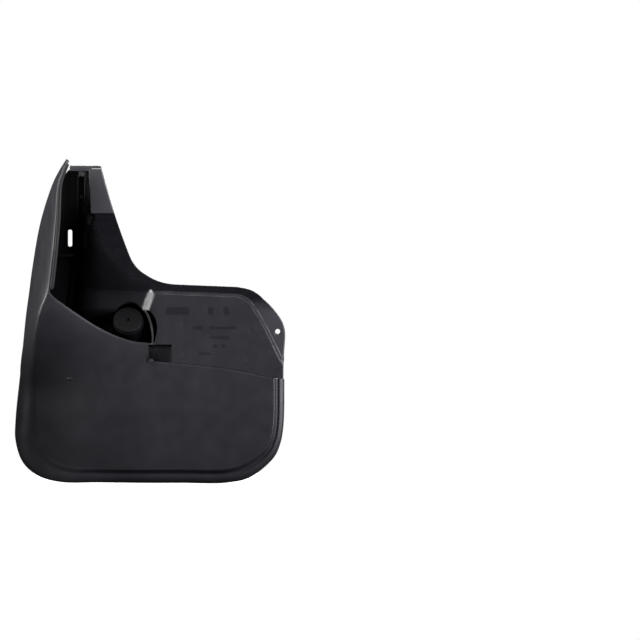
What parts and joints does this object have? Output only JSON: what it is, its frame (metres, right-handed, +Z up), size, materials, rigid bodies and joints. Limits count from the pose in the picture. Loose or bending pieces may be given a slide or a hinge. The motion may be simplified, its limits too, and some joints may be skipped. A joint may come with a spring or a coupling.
{
  "type": "mud flap",
  "caption": "Moulded car mud flap with wheel arch wing, mounting channel, screw boss and side fixing tab.",
  "frame": {"origin": "centre of the inner carrier's flat face on the bodywork side", "axes": "+X towards the vehicle's centre line, +Z up, -Y towards the bodywork, +Y towards the wheel"},
  "size_m": [0.286, 0.0759, 0.3417],
  "materials": {
    "shell_plastic": "fine grained black polypropylene, satin",
    "carrier_plastic": "smooth black polypropylene, satin",
    "back_plastic": "dull black polypropylene",
    "pad_plastic": "satin dark grey polypropylene",
    "buffer_rubber": "dull black rubber",
    "seal_rubber": "dull black rubber",
    "spring_steel": "phosphated spring steel",
    "rivet_metal": "black zinc plated steel"
  },
  "bodies": {
    "root": {"outer_shell": "shell_plastic", "inner_carrier": "carrier_plastic", "channel_back": "back_plastic", "upright_pad": "pad_plastic", "top_shelf": "pad_plastic", "screw_boss": "carrier_plastic", "boss_buffer": "buffer_rubber", "wing_edge_seal": "seal_rubber", "top_spring_nut": "spring_steel", "joining_rivet_1": "rivet_metal", "joining_rivet_2": "rivet_metal", "joining_rivet_3": "rivet_metal", "joining_rivet_4": "rivet_metal", "joining_rivet_5": "rivet_metal", "joining_rivet_6": "rivet_metal", "joining_rivet_7": "rivet_metal", "joining_rivet_8": "rivet_metal", "joining_rivet_9": "rivet_metal"}
  },
  "joints": []
}
